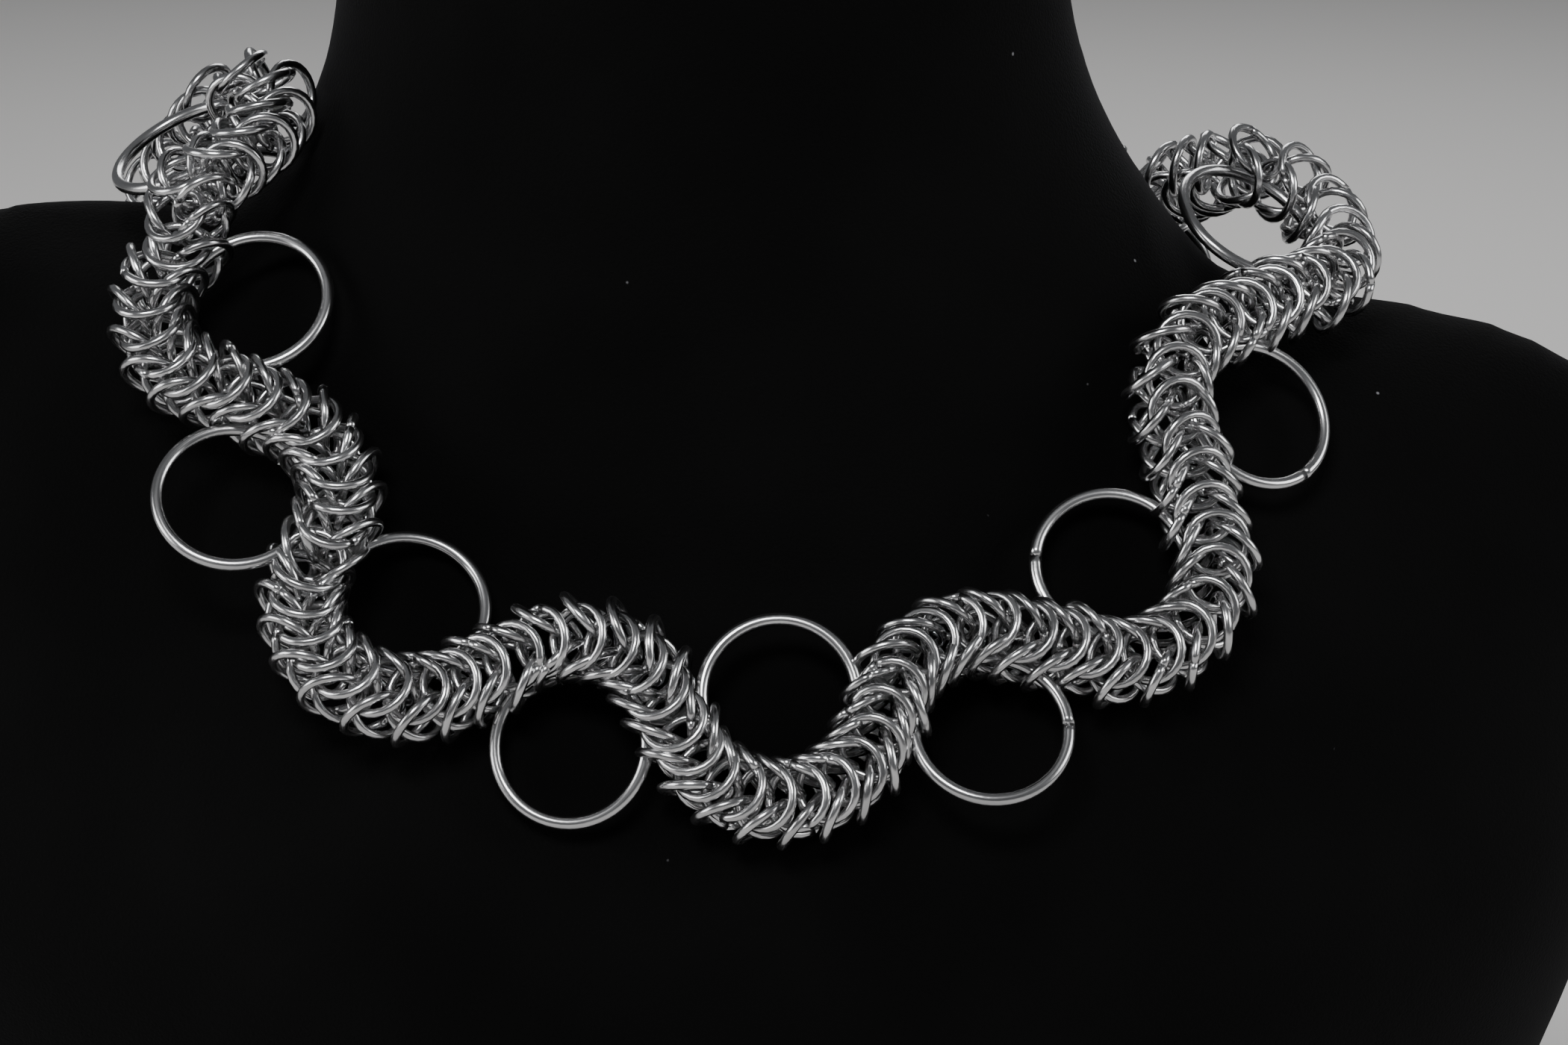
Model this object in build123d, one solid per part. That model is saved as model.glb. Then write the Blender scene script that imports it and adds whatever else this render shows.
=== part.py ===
from build123d import *
import math
import os

# A chainmail necklace on a plain velvet neck bust. Millimetres, +Z up, front towards -Y,
# origin at the middle of the bust's flat base.

# Bust
shoulder_width = 260
chest_depth = 142
body_height = 188

# Each row is one section of the bust: half an ellipse in front and a flatter half behind.
# Heights are shares of the body's height, widths of the shoulders' width, and depths of the
# chest's depth, each depth from the section's widest place, which lies behind the bust's middle
# by the share in shift_back. The shoulder on the left is the higher one: lean is how far a
# section slopes down to the right, in degrees.
chest_rows = (
    # height, width, front, back, shift_back, lean
    (0.000, 0.69, 0.38, 0.28, -0.02, 0),
    (0.151, 0.78, 0.41, 0.28, -0.028, 0),
    (0.302, 0.86, 0.44, 0.28, -0.038, 0),
    (0.453, 0.93, 0.47, 0.275, -0.052, 0),
    (0.605, 0.98, 0.492, 0.255, -0.06, 0),
    (0.690, 0.994, 0.477, 0.22, -0.03, 0.5),
    (0.756, 1.00, 0.442, 0.185, -0.003, 1),
)
shoulder_rows = (
    # height, width, front, back, shift_back, lean
    chest_rows[-1],
    (0.862, 0.977, 0.346, 0.145, 0.004, 2),
    (0.925, 0.946, 0.26, 0.112, -0.012, 3.5),
    (0.960, 0.9, 0.18, 0.08, -0.022, 4),
    (0.977, 0.84, 0.12, 0.058, -0.028, 4),
    (0.989, 0.755, 0.075, 0.04, -0.03, 4),
    (1.000, 0.6, 0.03, 0.022, -0.03, 4),
)
neck_rows = (
    # height, width, front, back, shift_back, lean
    (0.637, 0.77, 0.437, 0.17, 0.014, 0),
    (0.851, 0.66, 0.387, 0.132, 0.014, 1),
    (0.931, 0.59, 0.361, 0.114, 0.014, 1),
    (1.000, 0.508, 0.343, 0.108, 0.014, 1),
    (1.075, 0.425, 0.336, 0.113, 0.011, 0),
    (1.160, 0.378, 0.333, 0.124, 0.006, 0),
    (1.280, 0.362, 0.330, 0.134, -0.005, 0),
    (1.426, 0.354, 0.327, 0.141, -0.021, 0),
)

# Large plain rings that the chain winds round
wave_bore = 17.5
wave_wire = 1.63

# Woven chain: how wide it is over its rings, and the wire and bore of the small rings
chain_width = 10.1
link_wire = 1.22
link_bore = 6.6

# Hook at the back
hook_wire = 1.63
hook_bore = 3.8
hook_spread = 12

# Clearances
skin_gap = 0.35
thread_gap = 0.25

# Route of the chain, from its end on the left of the nape, round the front, to its other end.
# A row is one large ring: the spot on the bust under its middle, as shares of the shoulders'
# width, the chest's depth and the body's height, and which way the ring faces, in degrees round
# the vertical from the front and in degrees above level. The first ring lies on the neck's side
# of the chain, the next on the shoulder's side, and so on by turns.
route = (
    # across, back, up, facing, rise
    (-0.092, 0.132, 0.974, 180, 10),
    (-0.166, 0.140, 0.887, -172, 14),
    (-0.242, 0.129, 0.978, -160, 24),
    (-0.253, -0.095, 1.055, -58, 63),
    (-0.216, -0.225, 0.978, -9, 45),
    (-0.224, -0.356, 0.871, 9, 46),
    (-0.142, -0.387, 0.803, 14, 46),
    (-0.056, -0.458, 0.735, -12, 26),
    (0.038, -0.443, 0.763, 2, 31),
    (0.137, -0.465, 0.739, 5, 46),
    (0.198, -0.337, 0.822, 2, 40),
    (0.266, -0.231, 0.903, 29, 37),
    (0.268, -0.078, 1.001, 44, 55),
    (0.229, 0.119, 0.935, 165, 14),
    (0.139, 0.118, 0.976, 170, 10),
)
hook_seat = (0.026, 0.125, 0.940, 180, 8)

# Sizes that follow from those above
chain_radius = chain_width / 2
wave_radius = (wave_bore + wave_wire) / 2
link_radius = (link_bore + link_wire) / 2
hook_radius = (hook_bore + hook_wire) / 2
lift = chain_radius + skin_gap
wave_offset = chain_radius - link_wire - wave_wire / 2
bend_radius = wave_radius + wave_offset
# Each bend is rounded in two steps, with a short straight between them.
rounding = 0.8


def section(row):
    level, width, front, back, shift_back, lean = row
    half_width = width * shoulder_width / 2
    plane = Plane.XY.offset(level * body_height).rotated((0, lean, 0))
    front_curve = EllipticalCenterArc((0, 0), half_width, front * chest_depth, 180, arc_size=180)
    back_curve = EllipticalCenterArc((0, 0), half_width, back * chest_depth, 0, arc_size=180)
    outline = make_face([front_curve, back_curve])
    return plane * Pos(0, shift_back * chest_depth) * outline


def make_bust():
    chest, shoulders, neck = (
        loft([section(row) for row in rows]) for rows in (chest_rows, shoulder_rows, neck_rows))
    return chest + shoulders + neck


def pose(row):
    """Middle of a ring that lies over the bust, and the way it faces."""
    across, back, up, facing, rise = row
    turn, tilt = math.radians(facing), math.radians(rise)
    level = math.cos(tilt)
    outward = Vector(math.sin(turn) * level, -math.cos(turn) * level, math.sin(tilt))
    seat = Vector(across * shoulder_width, back * chest_depth, up * body_height)
    return seat + outward * lift, outward


def flattened(vector, normal):
    return vector - normal * vector.dot(normal)


def ring(centre, normal, radius, wire):
    plane = Plane(origin=centre, z_dir=normal)
    return plane.location * Torus(radius, wire / 2)


def leaving(centre, normal, chain_side, other, other_radius):
    """Way from a ring's middle to where the run towards another ring leaves its bend."""
    towards = flattened(other - centre, normal)
    lead = math.acos(min(1, (bend_radius + other_radius) / towards.length))
    along = towards.normalized()
    across = flattened(chain_side - along * chain_side.dot(along), normal).normalized()
    return along * math.cos(lead) + across * math.sin(lead)


def bend_corners(place, side, before, after):
    """The two corners of the chain's route round one large ring."""
    centre, normal = place
    neck_top = Vector(0, 0, neck_rows[-1][0] * body_height)
    chain_side = flattened(neck_top - centre, normal) * side
    first = leaving(centre, normal, chain_side, *before)
    last = leaving(centre, normal, chain_side, *after)
    apex = (first + last).normalized()
    quarter = math.radians(first.get_angle(last)) / 4
    reach = bend_radius / math.cos(quarter)
    print("bend of", round(math.degrees(4 * quarter)), "degrees")
    return [centre + (first + apex).normalized() * reach, centre + (apex + last).normalized() * reach]


def make_chain(places, ends, cutters):
    """Outer form of the woven chain, with a way through for each ring that it holds."""
    stops = [(ends[0], 0)] + [(centre, bend_radius) for centre, _ in places] + [(ends[1], 0)]
    corners = []
    for number, place in enumerate(places):
        side = 1 if number % 2 else -1
        corners += bend_corners(place, side, stops[number], stops[number + 2])
    points = [ends[0]] + corners + [ends[1]]
    path = FilletPolyline(*points, radius=bend_radius * rounding)
    start = Plane(origin=path @ 0, z_dir=path % 0)
    tube = sweep(start * Circle(chain_radius), path=path)
    print("chain", round(path.length, 1), "long, tube", round(tube.volume), "of",
          round(path.length * math.pi * chain_radius ** 2))
    for cutter in cutters:
        tube -= cutter
    return tube


def make_hook(centre, normal, along):
    """A plain S of wire, from the end ring on the left to the one on the right."""
    across = normal.cross(along)
    lean = math.asin(2 * hook_radius / hook_spread)
    half = hook_spread / 2

    def spot(side, angle):
        middle = centre + along * (side * half)
        return middle + (along * math.cos(angle) + across * math.sin(angle)) * hook_radius

    top = math.pi / 2 - lean
    left = ThreePointArc(spot(-1, -top), spot(-1, math.pi), spot(-1, math.pi / 2 + lean))
    right = ThreePointArc(spot(1, math.pi - top), spot(1, 0), spot(1, -math.pi / 2 + lean))
    bar = Line(spot(-1, -top), spot(1, math.pi - top))
    path = Wire([left, bar, right])
    start = Plane(origin=path @ 0, z_dir=path % 0)
    return sweep(start * Circle(hook_wire / 2), path=path)


os.makedirs("parts", exist_ok=True)

bust = make_bust()
export_step(bust, "parts/neck_bust.step")

places = [pose(row) for row in route]
wave_rings = [ring(centre, normal, wave_radius, wave_wire) for centre, normal in places]
for number, wave_ring in enumerate(wave_rings, start=1):
    export_step(wave_ring, f"parts/wave_ring_{number:02d}.step")

hook_centre, hook_normal = pose(hook_seat)
along = flattened(places[-1][0] - places[0][0], hook_normal).normalized()
# The hook's wire runs just inside each end ring, whose other side is inside the chain's end.
end_ring_place = hook_spread / 2 + hook_radius + link_radius - (link_wire + hook_wire) / 2 - thread_gap
chain_end = end_ring_place + link_radius - 2 * link_wire
end_normal = hook_normal.cross(along)
end_centres = [hook_centre + along * (side * end_ring_place) for side in (-1, 1)]
for name, centre in zip(("left", "right"), end_centres):
    export_step(ring(centre, end_normal, link_radius, link_wire), f"parts/end_ring_{name}.step")
export_step(make_hook(hook_centre, hook_normal, along), "parts/hook_clasp.step")

ways = [ring(centre, normal, wave_radius, wave_wire + 2 * thread_gap) for centre, normal in places]
ways += [ring(centre, end_normal, link_radius, link_wire + 2 * thread_gap) for centre in end_centres]
ends = [hook_centre + along * (side * chain_end) for side in (-1, 1)]
export_step(make_chain(places, ends, ways), "parts/box_chain.step")
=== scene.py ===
# %% [markdown]
# # A chainmail necklace on a velvet neck bust
#
# The necklace is a box chain: small steel rings in sets of four, each threaded through the rings
# before it. The chain winds in waves round large plain rings, and lies on a black velvet bust.
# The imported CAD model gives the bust, the large rings and the chain's outer form as a tube. This
# file keeps the places of all of them and gives them their real surfaces.

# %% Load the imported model
import math
import random

import bpy
import numpy as np
from mathutils import Matrix, Vector


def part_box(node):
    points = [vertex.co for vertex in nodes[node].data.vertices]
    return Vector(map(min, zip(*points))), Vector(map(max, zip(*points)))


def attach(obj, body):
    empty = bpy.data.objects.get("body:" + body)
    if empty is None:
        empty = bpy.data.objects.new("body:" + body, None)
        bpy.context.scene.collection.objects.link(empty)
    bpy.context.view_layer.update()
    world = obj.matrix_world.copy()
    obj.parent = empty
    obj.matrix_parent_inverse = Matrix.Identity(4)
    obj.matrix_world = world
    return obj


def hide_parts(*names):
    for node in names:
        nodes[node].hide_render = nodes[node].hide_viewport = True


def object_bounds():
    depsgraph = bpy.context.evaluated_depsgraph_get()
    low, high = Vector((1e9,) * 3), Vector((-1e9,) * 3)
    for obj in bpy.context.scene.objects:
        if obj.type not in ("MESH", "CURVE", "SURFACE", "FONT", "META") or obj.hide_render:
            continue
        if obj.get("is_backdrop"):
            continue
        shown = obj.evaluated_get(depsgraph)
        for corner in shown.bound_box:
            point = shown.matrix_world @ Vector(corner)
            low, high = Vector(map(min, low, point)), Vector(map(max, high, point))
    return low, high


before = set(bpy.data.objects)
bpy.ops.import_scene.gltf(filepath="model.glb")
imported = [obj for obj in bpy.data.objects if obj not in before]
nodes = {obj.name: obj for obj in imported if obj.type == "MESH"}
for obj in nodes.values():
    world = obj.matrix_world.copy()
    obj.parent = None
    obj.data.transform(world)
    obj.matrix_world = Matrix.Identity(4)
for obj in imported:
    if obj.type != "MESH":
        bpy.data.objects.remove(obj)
bpy.ops.object.select_all(action="DESELECT")
cad_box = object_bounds()
print("CAD nodes:", len(nodes))

# %% [markdown]
# ## Sizes
#
# Everything is in metres. The two wires and the two ring sizes are the maker's own choices, and
# all other sizes of the weave are easiest to think of in widths of the small rings' wire.

# %% Sizes of the wire and rings
LINK_WIRE = 0.00122
LINK_RADIUS = 3.2 * LINK_WIRE
WAVE_WIRE = 0.00163
WAVE_RADIUS = 0.009565
CHAIN_RADIUS = 0.00505
BEND_RADIUS = CHAIN_RADIUS - LINK_WIRE - WAVE_WIRE / 2 + WAVE_RADIUS
CELLS_PER_WAVE = 8
CELL_LENGTH = 0.00405
random.seed(11)

# %% [markdown]
# ## Where the large rings are
#
# A ring's node is a plain torus, so the mean of its points is its middle, and the direction in
# which the points spread least is the way it faces. Reading both from the node keeps the weave on
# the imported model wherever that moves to.

# %% Read each large ring's place
HEART = np.array((0.0, 0.0, 0.15))


def unit(vector):
    return vector / np.linalg.norm(vector)


def ring_place(name):
    corners = {tuple(round(value, 6) for value in vertex.co) for vertex in nodes[name].data.vertices}
    points = np.array(sorted(corners))
    middle = points.mean(axis=0)
    facing = np.linalg.svd(points - middle, full_matrices=False)[2][2]
    return middle, facing * math.copysign(1, facing @ (middle - HEART))


wave_names = sorted(name for name in nodes if name.startswith("wave_ring"))
waves = [ring_place(name) for name in wave_names]
end_names = ("end_ring_left", "end_ring_right")
end_places = [ring_place(name) for name in end_names]
for name, (middle, facing) in zip(wave_names, waves):
    print(name, np.round(middle * 1000, 1), np.round(facing, 2))

# %% [markdown]
# ## The chain's middle line
#
# The chain goes round every large ring on an arc a little wider than the ring itself, by turns on
# the shoulder's side and the neck's side, and runs across from each arc to the next. The line is
# first laid as plain arcs and runs. Then it is evened out over a few millimetres, because the
# real chain can't change its bend all at once.

# %% Lay the middle line
STEP = 0.0002
SMOOTH_LENGTH = 0.0011
NECK_TOP = np.array((0.0, 0.0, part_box("neck_bust")[1].z))


def flattened(vector, normal):
    return vector - normal * (vector @ normal)


def leaving(middle, facing, chain_side, other, other_radius):
    """Way from a ring's middle to the point where its arc ends and the run to another begins."""
    towards = flattened(other - middle, facing)
    lead = math.acos(min(1, (BEND_RADIUS + other_radius) / np.linalg.norm(towards)))
    along = unit(towards)
    across = unit(flattened(chain_side - along * (chain_side @ along), facing))
    return along * math.cos(lead) + across * math.sin(lead)


def arc(place, side, before, after):
    """Points of the chain's arc round a large ring."""
    middle, facing = place
    chain_side = flattened(NECK_TOP - middle, facing) * side
    first = leaving(middle, facing, chain_side, *before)
    last = leaving(middle, facing, chain_side, *after)
    turn = math.acos(first @ last)
    across = unit(last - first * (first @ last))
    angles = np.linspace(0, turn, 3 + int(turn * BEND_RADIUS / STEP))[:, None]
    return middle + BEND_RADIUS * (first * np.cos(angles) + across * np.sin(angles))


def evened(rows, count):
    """Rows of values averaged with their neighbours under a bell curve, the ends kept in place."""
    bell = np.exp(-0.5 * (np.arange(-3 * count, 3 * count + 1) / count) ** 2)
    bell /= bell.sum()
    pad = 3 * count
    before = 2 * rows[0] - rows[pad:0:-1]
    after = 2 * rows[-1] - rows[-2:-pad - 2:-1]
    full = np.vstack((before, rows, after))
    return np.column_stack([np.convolve(column, bell, mode="valid") for column in full.T])


def chain_end(place, other_place):
    """Where the chain ends: a little past the far side of the ring that closes it."""
    outwards = unit(place[0] - other_place[0])
    return place[0] + outwards * (LINK_RADIUS - 2 * LINK_WIRE)


ends = [chain_end(end_places[0], end_places[1]), chain_end(end_places[1], end_places[0])]
stops = [(ends[0], 0)] + [(middle, BEND_RADIUS) for middle, facing in waves] + [(ends[1], 0)]
line = [ends[0][None]]
line_facing = [waves[0][1][None]]
apex_points = []
for number, place in enumerate(waves):
    side = 1 if number % 2 else -1
    points = arc(place, side, stops[number], stops[number + 2])
    line.append(points)
    line_facing.append(np.repeat(place[1][None], len(points), axis=0))
    apex_points.append(points[len(points) // 2])
line.append(ends[1][None])
line_facing.append(waves[-1][1][None])
line = np.vstack(line)
line_facing = np.vstack(line_facing)


def lengths_along(points):
    return np.concatenate(([0], np.cumsum(np.linalg.norm(np.diff(points, axis=0), axis=1))))


def spaced(rows, lengths, places):
    return np.column_stack([np.interp(places, lengths, column) for column in rows.T])


rough = lengths_along(line)
even_places = np.linspace(0, rough[-1], int(rough[-1] / STEP))
line, line_facing = spaced(line, rough, even_places), spaced(line_facing, rough, even_places)
line = evened(line, int(SMOOTH_LENGTH / STEP))
line_facing = evened(line_facing, int(3 * SMOOTH_LENGTH / STEP))
at = lengths_along(line)
tangents = np.gradient(line, at, axis=0)
tangents /= np.linalg.norm(tangents, axis=1)[:, None]
fronts = line_facing - tangents * np.sum(line_facing * tangents, axis=1)[:, None]
fronts /= np.linalg.norm(fronts, axis=1)[:, None]
lefts = np.cross(fronts, tangents)
bends = np.sum(np.gradient(tangents, at, axis=0) * lefts, axis=1) * BEND_RADIUS
apexes = [at[np.argmin(np.linalg.norm(line - point, axis=1))] for point in apex_points]
print("chain length", round(at[-1] * 1000), "mm, tightest bend", round(np.abs(bends).max(), 2))
print("half waves", np.round(np.diff(apexes) * 1000, 1))

# %% [markdown]
# ## One small ring
#
# A jump ring is a turn of wire with its two cut ends pushed together. A torus is the natural
# start. Its cage stays coarse, since there are hundreds of rings: a subdivision modifier on the
# finished chain rounds it. That pulls the cage inwards, so the cage is made larger by the same
# share. The cut is a real one: one loop of the torus is split, its sides are closed and moved
# apart by a hair, and a crease keeps the ends flat under the subdivision.

# %% Model a cut ring
SEAM_GAP = 0.00004


def pulled_in(corners):
    """Share to which subdivision pulls in a loop of so many corners."""
    return (2 + math.cos(2 * math.pi / corners)) / 3


def cut_ring(name, radius, wire, turns, sides):
    """A ring of wire in the XY plane, with its butted ends at +X."""
    cage_radius = radius / pulled_in(turns)
    bpy.ops.mesh.primitive_torus_add(
        major_segments=turns, minor_segments=sides, generate_uvs=True,
        major_radius=cage_radius, minor_radius=wire / 2 / pulled_in(sides) * 1.01)
    ring = bpy.context.object
    ring.name = name
    mesh = ring.data

    def near_cut(corner):
        spot = mesh.vertices[corner].co
        return abs(spot.y) < wire / 20 and spot.x > 0

    def pick_nothing(kind):
        bpy.ops.object.mode_set(mode="EDIT")
        bpy.ops.mesh.select_mode(type=kind)
        bpy.ops.mesh.select_all(action="DESELECT")
        bpy.ops.object.mode_set(mode="OBJECT")

    pick_nothing("EDGE")
    for edge in mesh.edges:
        edge.select = near_cut(edge.vertices[0]) and near_cut(edge.vertices[1])
    bpy.ops.object.mode_set(mode="EDIT")
    bpy.ops.mesh.edge_split(type="EDGE")
    for way in (1, -1):
        pick_nothing("VERT")
        for face in mesh.polygons:
            for corner in face.vertices:
                if face.center.y * way > 0 and near_cut(corner):
                    mesh.vertices[corner].select = True
        bpy.ops.object.mode_set(mode="EDIT")
        bpy.ops.mesh.edge_face_add()
        bpy.ops.transform.edge_crease(value=1)
        bpy.ops.transform.translate(value=(radius - cage_radius, way * SEAM_GAP / 2, 0))
    bpy.ops.mesh.select_all(action="SELECT")
    bpy.ops.mesh.normals_make_consistent(inside=False)
    bpy.ops.object.mode_set(mode="OBJECT")
    bpy.ops.object.shade_smooth()
    return ring


def round_wire(piece):
    rounding = piece.modifiers.new("Round the wire", "SUBSURF")
    rounding.levels = 1
    rounding.render_levels = 1


link = cut_ring("link", LINK_RADIUS, LINK_WIRE, 12, 4)
print("faces in one link:", len(link.data.polygons))

# %% [markdown]
# ## How a small ring sits
#
# At every cell of the chain there are four rings: one on the front, one on the back and one on
# each side. Each is a flat loop that leans out from the middle line, so that one end dives into
# the chain and the other makes a tip on the surface. The front and back rings lean with the
# chain's run and the side rings against it, so that most pairs pass through the next. Where the
# chain bends, the rings on the inside of the bend reach further in and stand closer together, and
# there they also hold the large ring. So a ring's seat is blended between three seats: on the
# inside of a bend, on a straight run and on the outside of a bend. The tips of the side rings
# stand well out past the front rings, which gives the chain its spiky edges.
#
# The seats were set for the chain's look and are no true fit. Inside the chain many wires
# run into each other, some by nearly their whole width. Between the third and the fourth large
# ring, the longest half wave, the cells lie too far apart for any ring to reach the next one.

# %% Seats of the rings, in widths of their wire
# Each triple is for the outside of a bend, a straight run and the inside of a bend.
# A tip stands that far out from the middle line, and a root lies that far out at the other end.
SIDE_TIP = (4.70, 4.50, 4.15)
SIDE_ROOT = (0.45, 0.30, 0.00)
SIDE_AHEAD = (-0.25, -0.10, 0.85)
# Each pair is for a straight run and a bend.
FACE_TIP = (3.98, 3.68)
FACE_ROOT = (0.50, 0.41)
# How far a face ring moves to the inside of a full bend, and how far it sits behind its cell.
FACE_SHIFT = 0.50
FACE_BEHIND = 0.3
# How far a tip may be slid to clear a large ring, and by what steps.
SLIDE_IN, SLIDE_OUT, SLIDE_STEP = -0.9, 0.5, 0.05


def on_line(place):
    """Middle line's point, run, front and left ways, and bend at a length along the chain."""
    values = [spaced(rows, at, [place])[0] for rows in (line, tangents, fronts, lefts)]
    return values + [float(np.clip(np.interp(place, at, bends), -1, 1))]


def seat(place, where, tip_out=0.0):
    """Matrix that takes the link to its seat. Its X runs from root to tip."""
    bend = on_line(place)[4]
    if where in ("left", "right"):
        way = 1 if where == "left" else -1
        tip = np.interp(bend * way, (-1, 0, 1), SIDE_TIP) + tip_out
        root = np.interp(bend * way, (-1, 0, 1), SIDE_ROOT)
        ahead = np.interp(bend * way, (-1, 0, 1), SIDE_AHEAD)
        point, run, front, left, _ = on_line(place + ahead * LINK_WIRE)
        outward, across, lean = left * way, front, -run
    else:
        way = 1 if where == "front" else -1
        tip = np.interp(abs(bend), (0, 1), FACE_TIP)
        root = np.interp(abs(bend), (0, 1), FACE_ROOT)
        point, run, front, left, _ = on_line(place)
        point = point - left * bend * FACE_SHIFT * LINK_WIRE
        outward, across, lean = front * way, left, run
    rise = math.asin((tip - root) * LINK_WIRE / (2 * LINK_RADIUS))
    along = lean * math.cos(rise) + outward * math.sin(rise)
    middle = point + outward * (tip + root) / 2 * LINK_WIRE
    matrix = Matrix.Identity(4)
    for column, vector in enumerate((along, across, np.cross(along, across), middle)):
        matrix.col[column][:3] = vector
    return matrix


# %% [markdown]
# ## Keep the tips clear of the large rings
#
# Where a large ring leaves the chain it crosses the row of side tips. Each tip near it is slid in
# or out, by the least that lets the two wires touch without running into each other. Where no
# slide does that the tip keeps its place, and the front and back rings aren't slid at all, so
# some small rings still run into a large one.

# %% Slide tips clear
circle = np.linspace(0, 2 * math.pi, 96, endpoint=False)[:, None]


def ring_line(matrix):
    points = np.hstack((np.cos(circle), np.sin(circle), 0 * circle)) * LINK_RADIUS
    return points @ np.array(matrix.to_3x3()).T + np.array(matrix.translation)


def wave_gap(matrix):
    """Smallest distance between a small ring's wire and any large ring's, middle to middle."""
    points = ring_line(matrix)
    gaps = []
    for middle, facing in waves:
        away = points - middle
        height = away @ facing
        level = np.linalg.norm(away - height[:, None] * facing, axis=1)
        gaps.append(np.hypot(level - WAVE_RADIUS, height).min())
    return min(gaps)


def clear_seat(place, where):
    for slide in sorted(np.arange(SLIDE_IN, SLIDE_OUT, SLIDE_STEP), key=abs):
        matrix = seat(place, where, slide)
        if wave_gap(matrix) >= (LINK_WIRE + WAVE_WIRE) / 2:
            return matrix, abs(slide) > SLIDE_STEP / 5
    return seat(place, where), False


# %% [markdown]
# ## Weave the chain
#
# The cells are counted from bend to bend, eight to each half wave, as on the real one. Every ring
# is a copy of the one link with a mesh of its own, turned to its seat, its cut at a place of its
# own, and tilted by a degree or two, because no ring in a real chain sits quite like the next.
# Then the copies are joined, the left half of the chain as one piece and the right half as another.

# %% Place and join the links
LOOSE_TURN = math.radians(2.2)
CUT_SPREAD = 2.4
marks = [0.0] + apexes + [at[-1]]
cells = []
for number, (low, high) in enumerate(zip(marks[:-1], marks[1:])):
    count = CELLS_PER_WAVE
    if number in (0, len(marks) - 2):
        count = round((high - low) / CELL_LENGTH)
    size = (high - low) / count
    cells += [low + (k + 0.5) * size for k in range(count)]
halves = {"links_left": [], "links_right": []}
moved = 0


def give_shade(ring):
    """A number of the ring's own, from which the steel makes its tone."""
    shade = ring.data.attributes.new("shade", "FLOAT", "POINT")
    shade.data.foreach_set("value", [random.random()] * len(ring.data.vertices))


for place in cells:
    half = "links_left" if place < at[-1] / 2 else "links_right"
    for where in ("front", "back", "left", "right"):
        if where in ("front", "back"):
            matrix = seat(place - FACE_BEHIND * LINK_WIRE, where)
        else:
            matrix, slid = clear_seat(place, where)
            moved += slid
        tilt = Matrix.Rotation(random.gauss(0, LOOSE_TURN), 4, "X")
        tilt = tilt @ Matrix.Rotation(random.gauss(0, LOOSE_TURN), 4, "Y")
        cut = Matrix.Rotation(random.uniform(-CUT_SPREAD, CUT_SPREAD) + math.pi, 4, "Z")
        ring = link.copy()
        ring.data = link.data.copy()
        ring.data.transform(matrix @ tilt @ cut)
        give_shade(ring)
        bpy.context.collection.objects.link(ring)
        halves[half].append(ring)
print("cells:", len(cells), "small rings:", 4 * len(cells), "slid clear:", moved)


def join(name, rings):
    bpy.ops.object.select_all(action="DESELECT")
    for ring in rings:
        ring.select_set(True)
    bpy.context.view_layer.objects.active = rings[0]
    bpy.ops.object.join()
    piece = bpy.context.object
    piece.name = name
    piece.data.name = name
    return piece


links = [join(name, rings) for name, rings in halves.items()]
for piece in links:
    round_wire(piece)
    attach(piece, "root")
    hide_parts("box_chain")

# %% [markdown]
# ## The large rings and the two end rings
#
# The large rings are cut rings too, with more corners because so much of each shows. A copy goes
# to each node's place. Its cut is turned to where the photo shows one, and elsewhere to a spot
# inside the chain, where a maker hides it.

# %% Replace the plain ring nodes
# Degrees from the ring's upper side, clockwise as seen from the front.
SHOWN_CUTS = {"wave_ring_10": 88, "wave_ring_11": -84, "wave_ring_12": 150}


def ring_matrix(place, degrees):
    middle, facing = place
    up = unit(flattened(np.array((0.0, 0.3, 1.0)), facing))
    side = np.cross(up, facing)
    turn = math.radians(degrees)
    cut_way = up * math.cos(turn) + side * math.sin(turn)
    matrix = Matrix.Identity(4)
    for column, vector in enumerate((cut_way, np.cross(facing, cut_way), facing, middle)):
        matrix.col[column][:3] = vector
    return matrix


def chain_way(number):
    """Degrees to the spot of a large ring that the chain covers."""
    middle, facing = waves[number]
    way = apex_points[number] - middle
    up = unit(flattened(np.array((0.0, 0.3, 1.0)), facing))
    return math.degrees(math.atan2(way @ np.cross(up, facing), way @ up))


large = cut_ring("large", WAVE_RADIUS, WAVE_WIRE, 32, 6)
rings = []
for number, (name, place) in enumerate(zip(wave_names, waves)):
    degrees = SHOWN_CUTS.get(name, chain_way(number) + random.uniform(-20, 20))
    ring = large.copy()
    ring.data = large.data.copy()
    ring.data.transform(ring_matrix(place, degrees))
    ring.name = name.replace("wave_ring", "large_ring")
    rings.append((ring, name))
for name, place in zip(end_names, end_places):
    ring = link.copy()
    ring.data = link.data.copy()
    ring.data.transform(ring_matrix(place, 0))
    ring.name = name.replace("end_ring", "closing_ring")
    rings.append((ring, name))
for ring, name in rings:
    bpy.context.collection.objects.link(ring)
    give_shade(ring)
    round_wire(ring)
    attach(ring, "root")
    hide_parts(name)
for spare in (link, large):
    bpy.data.objects.remove(spare)
print("rings:", len(rings))

# %% [markdown]
# ## The bust
#
# The bust is a moulded form with velvet stretched over it. The node has the right form but a hard
# line where the neck meets the shoulders, which cloth would bridge. A copy of it is remeshed to
# even squares and relaxed, so the velvet runs on softly from shoulder to neck and turns softly
# over its edges.

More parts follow.
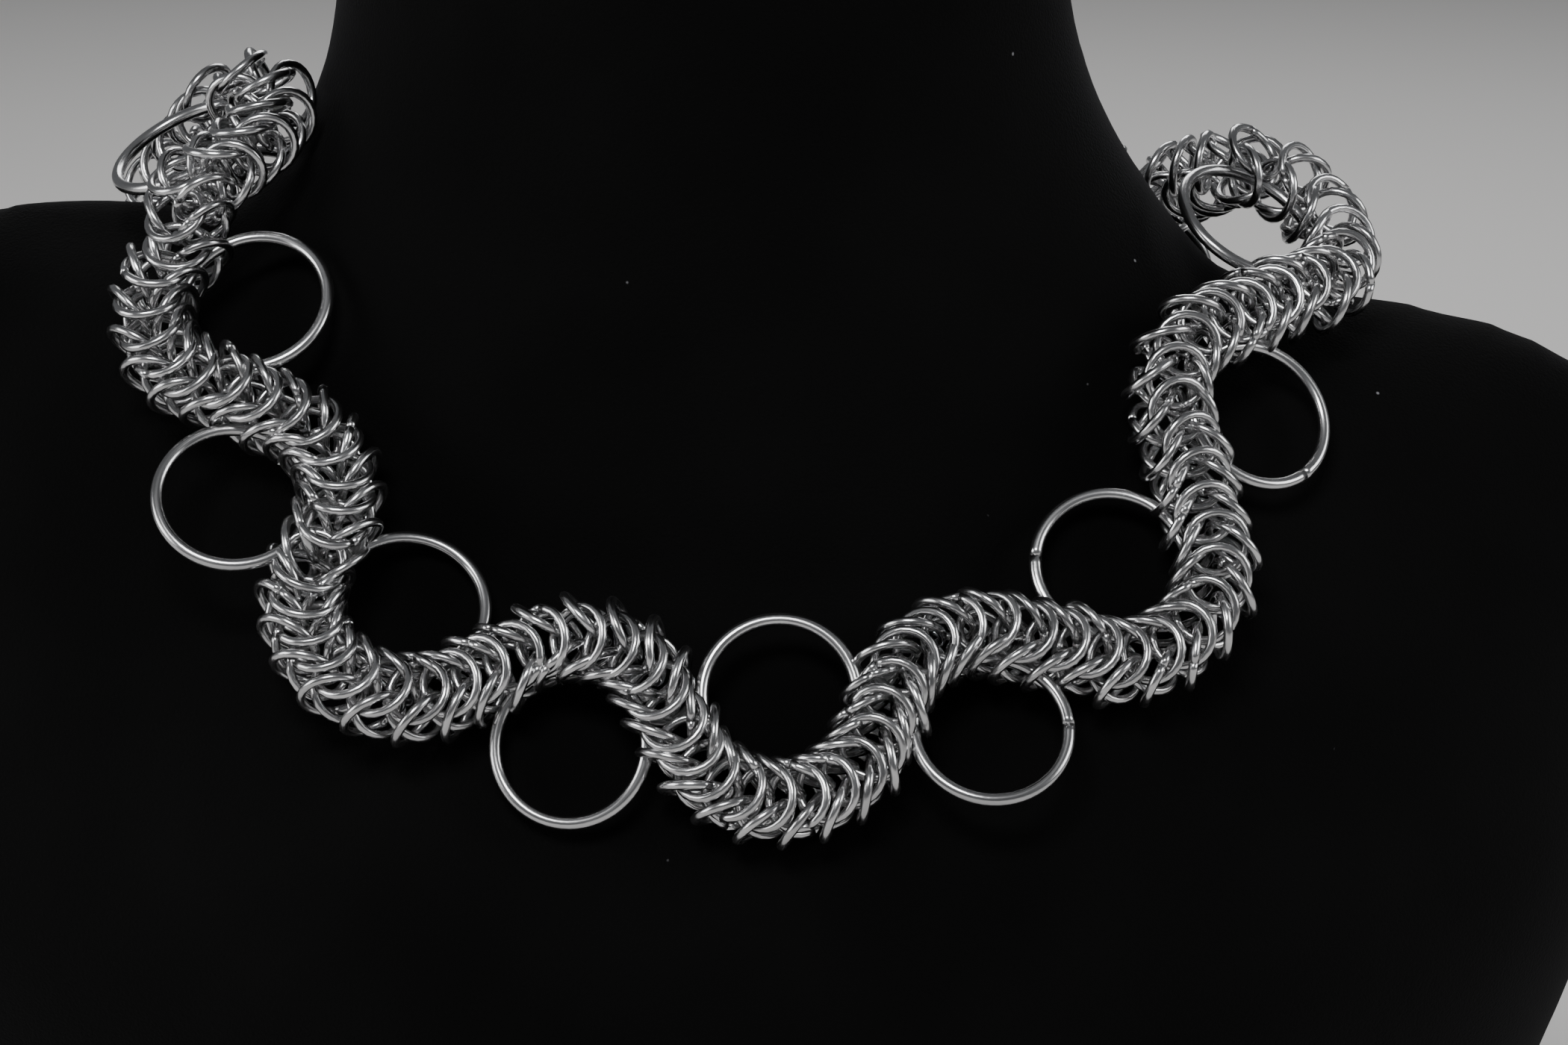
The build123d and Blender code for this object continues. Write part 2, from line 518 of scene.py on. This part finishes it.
# %% Cover the bust
VOXEL = 0.0028
RELAX_ROUNDS = 12
cover = nodes["neck_bust"].copy()
cover.data = nodes["neck_bust"].data.copy()
for key in list(cover.keys()):
    del cover[key]
cover.parent = None
cover.name = "velvet_bust"
bpy.context.collection.objects.link(cover)
bpy.context.view_layer.objects.active = cover
bpy.ops.object.select_all(action="DESELECT")
cover.select_set(True)
bpy.ops.object.mode_set(mode="EDIT")
bpy.ops.mesh.select_all(action="SELECT")
bpy.ops.mesh.remove_doubles(threshold=0.00001)
bpy.ops.object.mode_set(mode="OBJECT")
remesh = cover.modifiers.new("Even squares", "REMESH")
remesh.mode = "VOXEL"
remesh.voxel_size = VOXEL
relax = cover.modifiers.new("Relax", "SMOOTH")
relax.factor = 0.5
relax.iterations = RELAX_ROUNDS
for modifier in ("Even squares", "Relax"):
    bpy.ops.object.modifier_apply(modifier=modifier)
bpy.ops.object.shade_smooth()
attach(cover, "root")
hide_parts("neck_bust")
print("velvet faces:", len(cover.data.polygons))

# %% [markdown]
# ## Drawn steel wire
#
# The rings are bright stainless wire as it comes from the die: a soft grey metal with fine lines
# along the wire and small changes of tone from ring to ring. The wire's UV map runs along it in U
# and round it in V, so streaks are noise that is stretched far along U. Small and large rings
# share the effect as one node group, each with its own number of streaks.

# %% Make the steel
def new_material(name):
    material = bpy.data.materials.new(name)
    material.use_nodes = True
    tree = material.node_tree
    return material, tree, tree.nodes["Principled BSDF"]


def drawn_wire_group():
    group = bpy.data.node_groups.new("Drawn wire", "ShaderNodeTree")
    sockets = group.interface
    sockets.new_socket("Along", in_out="INPUT", socket_type="NodeSocketFloat")
    sockets.new_socket("Round", in_out="INPUT", socket_type="NodeSocketFloat")
    for name in ("Streak", "Tone"):
        sockets.new_socket(name, in_out="OUTPUT", socket_type="NodeSocketFloat")
    make, join_up = group.nodes.new, group.links.new
    start = make("NodeGroupInput")
    end = make("NodeGroupOutput")
    uv = make("ShaderNodeUVMap")
    split = make("ShaderNodeSeparateXYZ")
    join_up(uv.outputs["UV"], split.inputs[0])
    stretch = make("ShaderNodeCombineXYZ")
    for axis, name in (("X", "Along"), ("Y", "Round")):
        times = make("ShaderNodeMath")
        times.operation = "MULTIPLY"
        join_up(split.outputs[axis], times.inputs[0])
        join_up(start.outputs[name], times.inputs[1])
        join_up(times.outputs[0], stretch.inputs[axis])
    shade = make("ShaderNodeAttribute")
    shade.attribute_name = "shade"
    apart = make("ShaderNodeMath")
    apart.operation = "MULTIPLY"
    apart.inputs[1].default_value = 97.0
    join_up(shade.outputs["Fac"], apart.inputs[0])
    join_up(apart.outputs[0], stretch.inputs["Z"])
    streak = make("ShaderNodeTexNoise")
    streak.inputs["Scale"].default_value = 1.0
    streak.inputs["Detail"].default_value = 3.0
    join_up(stretch.outputs[0], streak.inputs["Vector"])
    join_up(streak.outputs["Fac"], end.inputs["Streak"])
    cloud = make("ShaderNodeTexNoise")
    cloud.inputs["Scale"].default_value = 420.0
    cloud.inputs["Detail"].default_value = 2.0
    place = make("ShaderNodeTexCoord")
    join_up(place.outputs["Object"], cloud.inputs["Vector"])
    blend = make("ShaderNodeMix")
    blend.inputs["Factor"].default_value = 0.5
    join_up(cloud.outputs["Fac"], blend.inputs["A"])
    join_up(shade.outputs["Fac"], blend.inputs["B"])
    join_up(blend.outputs["Result"], end.inputs["Tone"])
    return group


def ramp(tree, factor, stops):
    node = tree.nodes.new("ShaderNodeValToRGB")
    for number, (place, value) in enumerate(stops):
        element = node.color_ramp.elements[number]
        element.position = place
        element.color = (value, value, value * 1.01, 1)
    tree.links.new(factor, node.inputs["Fac"])
    return node.outputs["Color"]


def steel(name, along, around, depth):
    material, tree, shader = new_material(name)
    shader.inputs["Metallic"].default_value = 1.0
    wire = tree.nodes.new("ShaderNodeGroup")
    wire.node_tree = drawn_wire
    wire.inputs["Along"].default_value = along
    wire.inputs["Round"].default_value = around
    base = ramp(tree, wire.outputs["Tone"], ((0.25, 0.42), (0.80, 0.58)))
    tree.links.new(base, shader.inputs["Base Color"])
    rough = ramp(tree, wire.outputs["Streak"], ((0.3, 0.17), (0.75, 0.29)))
    tree.links.new(rough, shader.inputs["Roughness"])
    bump = tree.nodes.new("ShaderNodeBump")
    bump.inputs["Strength"].default_value = 0.5
    bump.inputs["Distance"].default_value = depth
    tree.links.new(wire.outputs["Streak"], bump.inputs["Height"])
    tree.links.new(bump.outputs["Normal"], shader.inputs["Normal"])
    return material


drawn_wire = drawn_wire_group()
link_steel = steel("Small ring steel", 3.0, 22.0, 0.00002)
ring_steel = steel("Large ring steel", 6.0, 26.0, 0.00002)
hook_steel = steel("Hook steel", 3.0, 22.0, 0.00002)


def dress(piece, material):
    piece.data.materials.clear()
    piece.data.materials.append(material)


for piece in links:
    dress(piece, link_steel)
for ring, name in rings:
    dress(ring, ring_steel if "wave" in name else link_steel)
dress(nodes["hook_clasp"], hook_steel)

# %% [markdown]
# ## Black velvet
#
# Velvet is a cloth of upright fibres that swallow nearly all light, except along their tips where
# it is seen edge on. A nearly black base with a little sheen does that. A fine bump is the pile,
# a broad soft noise is where the nap was brushed another way, and a few pale specks are the lint
# that black velvet always holds.

# %% Make the velvet
velvet, tree, shader = new_material("Black velvet")
shader.inputs["Roughness"].default_value = 0.95
shader.inputs["Specular IOR Level"].default_value = 0.08
shader.inputs["Sheen Weight"].default_value = 0.03
shader.inputs["Sheen Roughness"].default_value = 0.35
shader.inputs["Sheen Tint"].default_value = (0.5, 0.5, 0.55, 1)
place = tree.nodes.new("ShaderNodeTexCoord")


def noise(scale, detail):
    node = tree.nodes.new("ShaderNodeTexNoise")
    node.inputs["Scale"].default_value = scale
    node.inputs["Detail"].default_value = detail
    tree.links.new(place.outputs["Object"], node.inputs["Vector"])
    return node.outputs["Fac"]


nap = ramp(tree, noise(28.0, 2.0), ((0.3, 0.0006), (0.75, 0.0018)))
specks = tree.nodes.new("ShaderNodeTexVoronoi")
specks.inputs["Scale"].default_value = 210.0
tree.links.new(place.outputs["Object"], specks.inputs["Vector"])
rare = ramp(tree, noise(160.0, 0.0), ((0.70, 0.0), (0.74, 1.0)))
near = ramp(tree, specks.outputs["Distance"], ((0.03, 1.0), (0.06, 0.0)))
lint = tree.nodes.new("ShaderNodeMath")
lint.operation = "MULTIPLY"
tree.links.new(rare, lint.inputs[0])
tree.links.new(near, lint.inputs[1])
colour = tree.nodes.new("ShaderNodeMix")
colour.data_type = "RGBA"
colour.inputs["B"].default_value = (0.16, 0.16, 0.17, 1)
tree.links.new(lint.outputs[0], colour.inputs["Factor"])
tree.links.new(nap, colour.inputs["A"])
tree.links.new(colour.outputs["Result"], shader.inputs["Base Color"])
pile = tree.nodes.new("ShaderNodeBump")
pile.inputs["Strength"].default_value = 0.35
pile.inputs["Distance"].default_value = 0.0004
tree.links.new(noise(2600.0, 2.0), pile.inputs["Height"])
tree.links.new(pile.outputs["Normal"], shader.inputs["Normal"])
dress(cover, velvet)

# %% [markdown]
# ## Floor, light and camera
#
# The stage is a plain pale floor. Steel shows what it reflects, so the light is a large soft
# panel over the camera, which lays the long bright line on every wire, with dimmer panels at the
# sides. The camera stands where the photographer's did, close in front and a little above.

# %% Set the stage
bpy.ops.mesh.primitive_plane_add(size=8.0)
floor = bpy.context.object
floor.name = "floor"
floor_paint, tree, shader = new_material("Pale floor")
shader.inputs["Base Color"].default_value = (0.62, 0.61, 0.60, 1)
shader.inputs["Roughness"].default_value = 0.8
dress(floor, floor_paint)
floor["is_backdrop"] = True

world = bpy.data.worlds.new("Soft studio")
bpy.context.scene.world = world
world.use_nodes = True
backdrop = world.node_tree.nodes["Background"]
backdrop.inputs["Color"].default_value = (0.9, 0.92, 0.95, 1)
backdrop.inputs["Strength"].default_value = 0.16


def panel(name, spot, aim, width, depth, watts):
    bpy.ops.object.light_add(type="AREA", location=spot)
    lamp = bpy.context.object
    lamp.name = name
    lamp.data.shape = "RECTANGLE"
    lamp.data.size = width
    lamp.data.size_y = depth
    lamp.data.energy = watts
    lamp.rotation_euler = (Vector(aim) - Vector(spot)).to_track_quat("-Z", "Y").to_euler()


chest = (0.0, -0.05, 0.17)
panel("Key panel", (-0.15, -0.75, 0.95), chest, 0.42, 0.26, 9.5)
panel("Left panel", (-0.95, -0.35, 0.45), chest, 0.6, 0.5, 5)
panel("Right panel", (0.95, -0.25, 0.55), chest, 0.6, 0.5, 5)
panel("Back panel", (0.1, 0.9, 0.8), chest, 0.7, 0.5, 5)

PHOTO_WIDTH = 2100
FOCAL_PIXELS = 5452.56
CAMERA_RISE = math.radians(18)
bpy.ops.object.camera_add(
    location=(0.010585, -0.53595, 0.32077), rotation=(math.pi / 2 - CAMERA_RISE, 0, 0))
camera = bpy.context.object
camera.name = "camera"
camera.data.sensor_width = 36.0
camera.data.lens = 36.0 * FOCAL_PIXELS / PHOTO_WIDTH
camera.data.clip_start = 0.01
bpy.context.scene.camera = camera

# %% [markdown]
# ## Finish
#
# The two boxes show whether the dressed model has kept the imported model's size.

# %% Print the sizes of both boxes
seen_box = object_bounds()
for corners in (cad_box, seen_box):
    print([[round(value * 1000, 1) for value in corner] for corner in corners])
